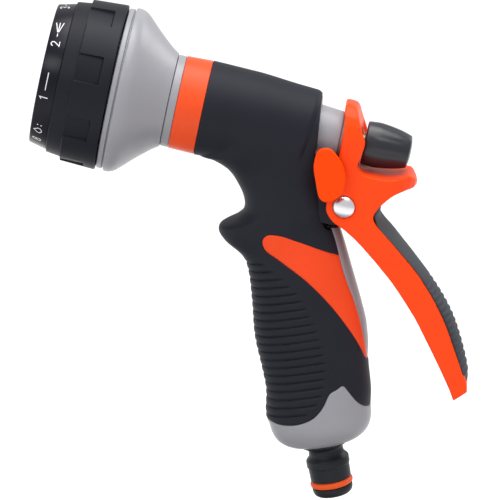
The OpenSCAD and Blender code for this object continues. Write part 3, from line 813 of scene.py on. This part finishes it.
def build_dial():
    slope = [(x, 32.1 + 0.7 * (x + 14.1) / 13.4) for x in
             (-13.6, -11, -8, -6, -5.3, -5.05, -4.9, -4.75, -4.6, -4.45, -4.2, -3.6, -2)]
    profile = ([(-20.3, 26.45), (-20.3, 29.9), (RING_STEP, 30.7), (RING_STEP, 32.1)] + slope
               + [(-0.3, 32.8), (-0.2, 26.45)])
    radii = [0.1, 0.45, 0.2, 0.3] + [0] * len(slope) + [0.55, 0.1]
    place_turned("grip_ring", profile, radii, "dial_grip_ring", "dial", 40,
                 wave=window_wave, angles=window_angles())

    shell = turned("rim", [(-27.5, 24.4), (-27.5, 27.4), (-20.4, 29.1), (-20.4, 26.4),
                           (-1, 26.4), (-1, 24.4)], [0.3, 0.55, 0.15, 0.1, 0.3, 0.1])
    hub = turned("hub", [(-18, 6.05), (-18, 9), (-4.6, 9), (-4.6, 6.05)], 0.2)
    back = turned("back", [(-4.6, 6.05), (-4.6, 24.45), (-1.6, 24.45), (-1.6, 6.05)], 0.05)
    webs = []
    for k in range(BLOCKS):
        turn = math.radians(45 * k)
        y, z = 17 * math.sin(turn), 17 * math.cos(turn)
        combine(back, rod("port", (-8, y, z), (2, y, z), 3, 48), "DIFFERENCE")
        web = slab("web", [(-25.1, 8.8), (-4.5, 8.8), (-4.5, 24.5), (-25.1, 24.5)], -0.7, 0.7)
        centre = Matrix.Translation(BARREL)
        web.data.transform(centre @ Matrix.Rotation(turn + math.radians(22.5), 4, "X")
                           @ centre.inverted())
        webs.append(web)
    cup = join("dial_rim", [shell, hub, back] + webs)
    stand_for(cup, "dial_cup", "dial")
    finish_mesh(cup, 35)
    build_marks()


# Marks on the rim: each a number and the outline of its spray, in millimetres; across is
# towards the dial's front, along runs up the side.
DIGITS = {
    "1": [[(0.5, 2.5), (1.3, 3.2), (1.3, 0)]],
    "2": [[(0, 2.5), (0.4, 3.1), (1.1, 3.2), (1.7, 2.9), (1.8, 2.3), (1.5, 1.7), (0, 0), (1.9, 0)]],
    "3": [[(0, 2.8), (0.5, 3.2), (1.3, 3.2), (1.7, 2.8), (1.7, 2.1), (1.2, 1.7), (0.7, 1.7)],
          [(1.2, 1.7), (1.8, 1.2), (1.8, 0.5), (1.3, 0), (0.5, 0), (0, 0.4)]],
    "4": [[(1.4, 0), (1.4, 3.2), (0, 1), (1.9, 1)]],
    "5": [[(1.7, 3.2), (0.3, 3.2), (0.1, 1.8), (1.1, 2), (1.8, 1.4), (1.8, 0.6), (1.2, 0),
           (0.5, 0), (0, 0.4)]],
    "6": [[(1.6, 3), (1, 3.2), (0.3, 2.6), (0, 1.5), (0.1, 0.5), (0.7, 0), (1.3, 0), (1.8, 0.5),
           (1.8, 1.3), (1.3, 1.9), (0.6, 1.9), (0.1, 1.3)]],
    "7": [[(0, 3.2), (1.9, 3.2), (0.8, 0)]],
    "8": [[(0.9, 1.75), (0.3, 2.1), (0.2, 2.8), (0.6, 3.2), (1.2, 3.2), (1.6, 2.8), (1.5, 2.1),
           (0.9, 1.75), (0.2, 1.3), (0, 0.6), (0.5, 0), (1.3, 0), (1.8, 0.6), (1.6, 1.3),
           (0.9, 1.75)]]}
SPRAYS = [
    ([[(0, 1.6), (7, 1.6)]], []),
    ([[(0, 1.6), (1.4, 1.6)], [(2, 1.8), (7, 3.1)], [(2, 1.6), (7, 1.6)], [(2, 1.4), (7, 0.1)]],
     []),
    ([[(0, 1.6), (2, 1.6)], [(3, 0), (3, 3.2)], [(5, 0), (5, 3.2)]], []),
    ([], [(0.4 + 1.3 * i, 0.3 + 1.3 * k) for i in range(6) for k in range(3)]),
    ([[(0, 0), (0, 3.2)]], [(1.6 + 1.2 * i, 0.5 + 1.1 * k) for i in range(5) for k in range(3)
                            if (i + k) % 2 == 0]),
    ([[(0, 1.6), (1.4, 1.6)], [(2, 1.8), (6, 3.1), (6.6, 1.6), (6, 0.1), (2, 1.4)]], []),
    ([[(0, 0.4), (7, 0.4)], [(0, 1.6), (7, 1.6)], [(0, 2.8), (7, 2.8)]], []),
    ([[(3, 3.2), (1.7, 1.6), (1.8, 0.7), (2.5, 0.1), (3.5, 0.1), (4.2, 0.7), (4.3, 1.6),
       (3, 3.2)]], [(6.2, 0.5), (6.2, 2)])]


def stroke_patch(points, width):
    """A flat band following a row of points, as vertices and faces in the plane."""
    p = np.array(points, float)
    if np.linalg.norm(p[0] - p[-1]) < 1e-6 and len(p) > 3:
        before = np.vstack([p[-2], p[:-1]])
        after = np.vstack([p[1:], p[1]])
    else:
        before = np.vstack([2 * p[0] - p[1], p[:-1]])
        after = np.vstack([p[1:], 2 * p[-1] - p[-2]])
    d0, d1 = p - before, after - p
    d0 /= np.linalg.norm(d0, axis=1)[:, None]
    d1 /= np.linalg.norm(d1, axis=1)[:, None]
    n0 = np.stack([-d0[:, 1], d0[:, 0]], 1)
    miter = n0 + np.stack([-d1[:, 1], d1[:, 0]], 1)
    miter /= np.linalg.norm(miter, axis=1)[:, None]
    scale = 1 / np.clip(np.sum(miter * n0, axis=1), 0.5, 1)
    off = miter * (width / 2 * scale)[:, None]
    fine = 3
    rows = []
    for k in range(len(p) - 1):
        for u in np.arange(fine) / fine:
            rows.append(((1 - u) * (p[k] + off[k]) + u * (p[k + 1] + off[k + 1]),
                         (1 - u) * (p[k] - off[k]) + u * (p[k + 1] - off[k + 1])))
    rows.append((p[-1] + off[-1], p[-1] - off[-1]))
    flat = [q for pair in rows for q in pair]
    faces = [(2 * k, 2 * k + 1, 2 * k + 3, 2 * k + 2) for k in range(len(rows) - 1)]
    return flat, faces


def dot_patch(centre, radius):
    a = np.arange(16) * math.pi / 8
    flat = [(centre[0] + radius * math.cos(t), centre[1] + radius * math.sin(t)) for t in a]
    return flat, [tuple(range(16))]


def build_marks():
    """The white marks, laid on the cone of the rim."""
    verts, faces = [], []
    for k in range(BLOCKS):
        lines, dots = SPRAYS[k]
        glyph = [stroke_patch(line, 0.42) for line in DIGITS[str(k + 1)]]
        glyph += [stroke_patch([(x + 4.2, y) for x, y in line], 0.36) for line in lines]
        glyph += [dot_patch((x + 4.2, y), 0.3) for x, y in dots]
        middle = math.radians(4 + 45 * k)
        for flat, quads in glyph:
            base = len(verts)
            for along, across in flat:
                x = -22.8 - across
                r = 27.4 + (x + 27.5) * 1.7 / 7.1 + 0.035
                a = middle + (along - 5.6) / 28
                verts.append((x, -r * math.cos(a), r * math.sin(a)))
            faces += [tuple(base + i for i in q) for q in quads]
    obj = make_object("dial_marks", verts, faces)
    obj.data.materials.append(MATERIALS["mark_white"])
    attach(obj, "dial")


def smooth_profile(points, steps=4):
    return [tuple(q) for q in open_curve(points, steps)]


def flutes(x, r, a):
    """Shallow finger flutes along the knob."""
    along = smoothstep(103, 107, x) * (1 - smoothstep(113.5, 117.5, x))
    return r - np.where(r > 5, 0.16 * along * (0.5 + 0.5 * np.cos(9 * a + 0.5))**3, 0)


def build_turned_parts():
    outer = smooth_profile([(4.6, 32.55), (5.6, 32.35), (6.9, 31.85), (8.3, 30.9), (10.5, 28.85),
                            (14, 25.45), (18.6, 21.45), (20.8, 19.75), (22.6, 18.6)])
    profile = ([(0.3, 29.1), (0.3, 31.8), (2.3, 31.9), (2.45, 31.2), (2.85, 31.2), (3, 32.5)]
               + outer + [(22.7, 14), (41.9, 14), (41.9, 11), (21, 11), (18, 16.5), (13, 21.5),
                          (9, 25.8), (7, 27.5), (3.4, 27.6), (3.4, 29.1)])
    radii = [0.1, 0.5, 0.35, 0.1, 0.1, 0.5] + [0] * (len(outer) - 1) + [0.1] * 11
    place_turned("bell", profile, radii, "head_shell", "root", 40, segments=256)
    place_turned("collar", [(22.8, 14.05), (22.8, 18.15), (25.95, 18.2), (25.95, 14.05)],
                 [0.1, 0.4, 0.25, 0.1], "neck_nut", "root")
    place_turned("orange_ring", [(26.05, 16.35), (26.05, 18.35), (36.35, 18.65), (36.4, 16.35)],
                 [0.1, 0.35, 0.35, 0.1], "neck_ring", "root")
    place_turned("rear_sleeve", [(70, 3.05), (70, 9.4), (72.4, 9.4), (72.4, 8.2), (75, 8.2),
                                 (75, 10.4), (80.9, 10.4), (80.9, 11.1), (90.7, 10.15),
                                 (91, 9.6), (91, 9.3), (92, 9.3), (92, 3.05), (86.4, 3.05),
                                 (86.4, 5.1), (84, 5.1), (84, 3.05)],
                 [0.1, 0.2, 0.2, 0.1, 0.1, 0.2, 0.05, 0.2, 0.3, 0.1, 0.05, 0.2, 0.1, 0, 0, 0, 0],
                 "valve_bonnet", "root")
    side = smooth_profile([(101.8, 8.65), (105.5, 8.9), (108.5, 8.65), (111.5, 8.2), (114.5, 7.6),
                           (117.4, 6.75)])
    place_turned("knob", [(100.3, 3.05), (100.3, 3.9), (100.8, 3.9), (100.8, 8.4)] + side
                 + [(118.6, 6.3), (119.2, 3.2), (119.3, 0.02), (114.5, 0.02), (114.5, 3.05)],
                 [0.1, 0.1, 0.1, 0.6] + [0] * len(side) + [0.8, 0.8, 0, 0, 0],
                 "flow_knob", "knob", 60, wave=flutes, segments=216)
    down = Matrix.Translation(handle_point(HANDLE_LEN)) @ Matrix(
        (tuple(-HANDLE_AXIS), (0, 1, 0), tuple(HANDLE_BACK))).transposed().to_4x4()
    end = TO_ROW @ down
    place_turned("spigot", [(0, 5), (0, 6.4), (0.8, 7.5), (2.1, 8), (3.7, 8.1), (3.8, 7), (6.6, 7),
                            (6.7, 8.1), (12.3, 8.25), (12.5, 8.6), (15.3, 8.6), (17, 7),
                            (19.8, 6.9), (20.6, 8.6), (21.6, 9.95), (22.6, 9.9), (22.8, 9),
                            (25.6, 9), (25.6, 5)],
                 [0.3, 0.3, 0.5, 0.3, 0.2, 0.15, 0.15, 0.2, 0.3, 0.25, 0.5, 0.8, 0.8, 0.5, 0.5,
                  0.3, 0.1, 0.1, 0.1], "hose_spigot", "root", matrix=end)
    circle = [(5.2 + 1.36 * math.cos(t), 7.25 + 1.32 * math.sin(t))
              for t in np.arange(28) * math.pi / 14]
    place_turned("o_ring", circle, 0, "spigot_o_ring", "root", 180, matrix=end)


# ---------------------------------------------------------------- trigger, pad, lock and rivet
def from_cad(name, cad_node, size_mm, rounds, more=()):
    """The CAD piece's own shape with its edges softened."""
    source = frame["nodes"][cad_node]
    bm = bmesh.new()
    bm.from_mesh(source.data)
    bm.transform(source.matrix_world)
    bmesh.ops.remove_doubles(bm, verts=bm.verts, dist=2e-6)
    mesh = bpy.data.meshes.new(name)
    bm.to_mesh(mesh)
    bm.free()
    obj = add(name, mesh)
    for part in more:
        combine(obj, part, "UNION")
    voxel(obj, size_mm)
    relax(obj.data, rounds)
    return obj


def bend(obj):
    """Slims the lever's upper half and draws its lower half slightly forwards."""
    co = barrel_mm(coords(obj.data))
    down = -co[:, 2]
    front = smooth_at([(26, 106.5), (40, 116), (55, 130), (70, 141), (96, 156)], down)
    share = np.clip((co[:, 0] - front) / 11, 0, 1)
    co[:, 0] += ((1 - share) * 0.85 * smoothstep(27, 36, down) * (1 - smoothstep(50, 62, down))
                 - share * 0.75 * smoothstep(29, 38, down) * (1 - 0.5 * smoothstep(50, 66, down))
                 - 0.65 * smoothstep(46, 70, down))
    set_coords(obj.data, co * MM + np.array(BARREL))


def shape_pad(obj):
    """Domes the pad across and gives its lower half fine ribs."""
    p = barrel_mm(coords(obj.data))
    line = open_curve(PAD_LINE, 6)
    step = np.linalg.norm(np.diff(line, axis=0), axis=1)
    run = np.concatenate([[0], np.cumsum(step)])
    q = p[:, [0, 2]]
    best = np.full(len(q), 1e9)
    along, foot = np.zeros(len(q)), np.zeros((len(q), 2))
    for k in range(len(line) - 1):
        seg = line[k + 1] - line[k]
        u = np.clip((q - line[k]) @ seg / (seg @ seg), 0, 1)
        spot = line[k] + u[:, None] * seg
        gap = np.linalg.norm(q - spot, axis=1)
        near = gap < best
        best[near] = gap[near]
        foot[near] = spot[near]
        along[near] = run[k] + u[near] * step[k]
    wide = smooth_at([(-100, 8.5), (-60, 9.4), (-45, 10.2), (-35, 12), (-20, 12.6)], q[:, 1])
    share = np.clip(np.abs(p[:, 1]) / wide, 0, 1)
    ribs = 0.5 + 0.5 * np.cos(along * 2 * math.pi / 2.6)
    zone = smoothstep(34, 38, along) * (1 - smoothstep(78, 82, along)) * (1 - share**6)
    keep = 1 - 0.85 * share**2.2
    away = q - foot
    lower = np.clip(best - 0.3, 0, 1) * 0.42 * ribs * zone
    size = np.maximum(best, 1e-6)
    gain = smooth_at([(0, 1.05), (8, 0.8), (25, 0.8), (40, 1.65), (52, 2.1), (62, 2), (72, 1.65),
                      (80, 1.2)], along)
    q = foot + away * (np.maximum(best * keep * gain - lower, 0) / size)[:, None]
    to_tip = np.array([0.44, -0.9])
    q += to_tip * (3 * smoothstep(58, 84, along))[:, None]
    p[:, 0], p[:, 2] = q[:, 0], q[:, 1]
    set_coords(obj.data, p * MM + np.array(BARREL))


PAD_LINE = [(110.4, -25), (113.6, -29.9), (121, -35.3), (129.4, -41.8), (137.1, -49.3),
            (143.9, -57.2), (149.7, -65.4), (154.6, -73.6), (158.5, -80.2), (160.6, -84.5)]


def build_trigger():
    tip = slab("tip", [(155.2, -82.5), (160, -81.8), (161.8, -85.8), (162.5, -88.5),
                       (157.7, -93.2), (155.4, -89.4)], -8.75, 8.75)
    lever = from_cad("lever", "trigger", 0.45, 3, [tip])
    bend(lever)
    rings = []
    for side in (-1, 1):
        rings.append(turned("lip", [(12.8, 4.5), (13.15, 4.62), (13.25, 4.9), (13.15, 5.2),
                                    (12.8, 5.45)], 0.1, matrix=side_frame(PIVOT, side)))
    lever = join("lever", [lever] + rings)
    stand_for(lever, "trigger", "trigger")
    finish_mesh(lever, 60)
    pad = from_cad("lever_pad", "trigger_pad", 0.35, 2)
    refine(pad, lambda p: p[:, 2] < -56)
    shape_pad(pad)
    bend(pad)
    stand_for(pad, "trigger_pad", "trigger")
    finish_mesh(pad, 60)
    parts = [rod("pin", at(PIVOT, -13), at(PIVOT, 13), 3)]
    dome = [(13.05, 0.02), (13.05, 4.3)] + [(13.1 + 2.15 * math.sin(t), 4.42 * math.cos(t))
                                           for t in np.linspace(0.02, 1.56, 14)]
    for side in (-1, 1):
        parts.append(turned("dome", dome, 0, matrix=side_frame(PIVOT, side)))
    rivet = join("rivet", parts)
    stand_for(rivet, "pivot_pin", "root")
    finish_mesh(rivet, 40)
    for side, word in ((1, "left"), (-1, "right")):
        inner, outer = sorted((side * 14.4 - 1.4, side * 17.3 - 1.4))
        button = slab("button", LOCK_OUTLINE, inner, outer)
        combine(button, rod("bolt_room", at(LOCK, -15.9), at(LOCK, 15.9), 2.5), "DIFFERENCE")
        voxel(button, 0.25)
        relax(button.data, 7)
        button.name = "button_" + word
        stand_for(button, "lock_button_" + word, "lock")
        finish_mesh(button, 60)


def build_spring():
    """The CAD spring between plunger and bonnet, as a plain copy that keeps its shape."""
    coil = copy_of(frame["nodes"]["return_spring"], "coil_spring")
    dress(coil, SLOT_OF["return_spring"])
    finish_mesh(coil, 40)
    x = coords(coil.data)[:, 0]
    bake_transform(coil)
    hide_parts("return_spring")


def side_frame(place, side):
    """Turns a profile about the cross axis through a place of the side view."""
    turn = Matrix(((0, 1, 0), (side, 0, 0), (0, 0, 1))).to_4x4()
    return TO_ROW @ Matrix.Translation(at(place, 0)) @ turn


# ---------------------------------------------------------------- view, floor and light
def build_studio():
    scene = bpy.context.scene
    scene.view_settings.view_transform = "Standard"
    scene.view_settings.look = "None"
    target = TO_ROW @ Vector((65.95, 0, -52.7))
    lift, roll, away = math.radians(16), math.radians(12.26), 2.0
    look_from = target + away * Vector((0, -math.cos(lift), math.sin(lift)))
    camera = add("camera", bpy.data.cameras.new("camera"))
    level_up = Vector((0, math.sin(lift), math.cos(lift)))
    level_right = Vector((1, 0, 0))
    right = math.cos(roll) * level_right + math.sin(roll) * level_up
    up = -math.sin(roll) * level_right + math.cos(roll) * level_up
    back = (look_from - target).normalized()
    camera.matrix_world = Matrix.Translation(look_from) @ Matrix(
        (right, up, back)).transposed().to_4x4()
    camera.data.sensor_width = 36
    camera.data.lens = 365.5
    camera.data.clip_end = 20
    scene.camera = camera

    size = 6
    floor = add("floor", bpy.data.meshes.new("floor"))
    floor.data.from_pydata([(-size, -size, 0), (size, -size, 0), (size, size, 0),
                            (-size, size, 0)], [], [(0, 1, 2, 3)])
    # The floor is pale far out and painted darker towards its middle, under the object: a painted shadow, which
    # also cuts the light that bounces up onto the object's underside.
    shadowed_floor_paint = bpy.data.materials.new("floor_with_painted_shadow")
    shadowed_floor_paint.use_nodes = True
    tree = shadowed_floor_paint.node_tree
    shader = tree.nodes["Principled BSDF"]
    shader.inputs["Roughness"].default_value = 0.9
    shader.inputs["Specular IOR Level"].default_value = 0.2
    place = node(tree, "ShaderNodeTexCoord")
    away_from = node(tree, "ShaderNodeVectorMath", operation="LENGTH")
    ramp = node(tree, "ShaderNodeValToRGB")
    ramp.color_ramp.interpolation = "EASE"
    for k, (reach, shade) in enumerate(((0.15, 0.22), (0.62, 1.0))):
        ramp.color_ramp.elements[k].position = reach
        ramp.color_ramp.elements[k].color = (shade, shade, shade, 1)
    tree.links.new(place.outputs["Object"], away_from.inputs[0])
    tree.links.new(away_from.outputs["Value"], ramp.inputs["Fac"])
    tree.links.new(ramp.outputs["Color"], shader.inputs["Base Color"])
    floor.data.materials.append(shadowed_floor_paint)
    floor.location = (0, 0, -0.3)

    world = bpy.data.worlds.new("studio")
    scene.world = world
    world.use_nodes = True
    sky = world.node_tree.nodes["Background"]
    sky.inputs["Color"].default_value = (1, 1, 1, 1)
    sky.inputs["Strength"].default_value = 0.72
    sun = add("sun", bpy.data.lights.new("sun", "SUN"))
    sun.data.energy = 1.15
    sun.data.angle = math.radians(40)
    sun.rotation_euler = (math.radians(-12), math.radians(-8), 0)
    for name, place, energy, width in (("overhead", (-0.1, -0.15, 1.1), 9, 0.9),
                                       ("key", (-0.8, -1.0, 0.8), 3, 0.4),
                                       ("rim", (0.7, 0.7, 0.8), 3, 0.5)):
        lamp = add(name, bpy.data.lights.new(name, "AREA"))
        lamp.data.energy = energy
        lamp.data.size = width
        lamp.location = place
        aim = (target - Vector(place)).to_track_quat("-Z", "Y")
        lamp.rotation_euler = aim.to_euler()


build_studio()
dress_cad_nodes()
build_skin_parts()
build_dial()
build_turned_parts()
build_trigger()
build_spring()
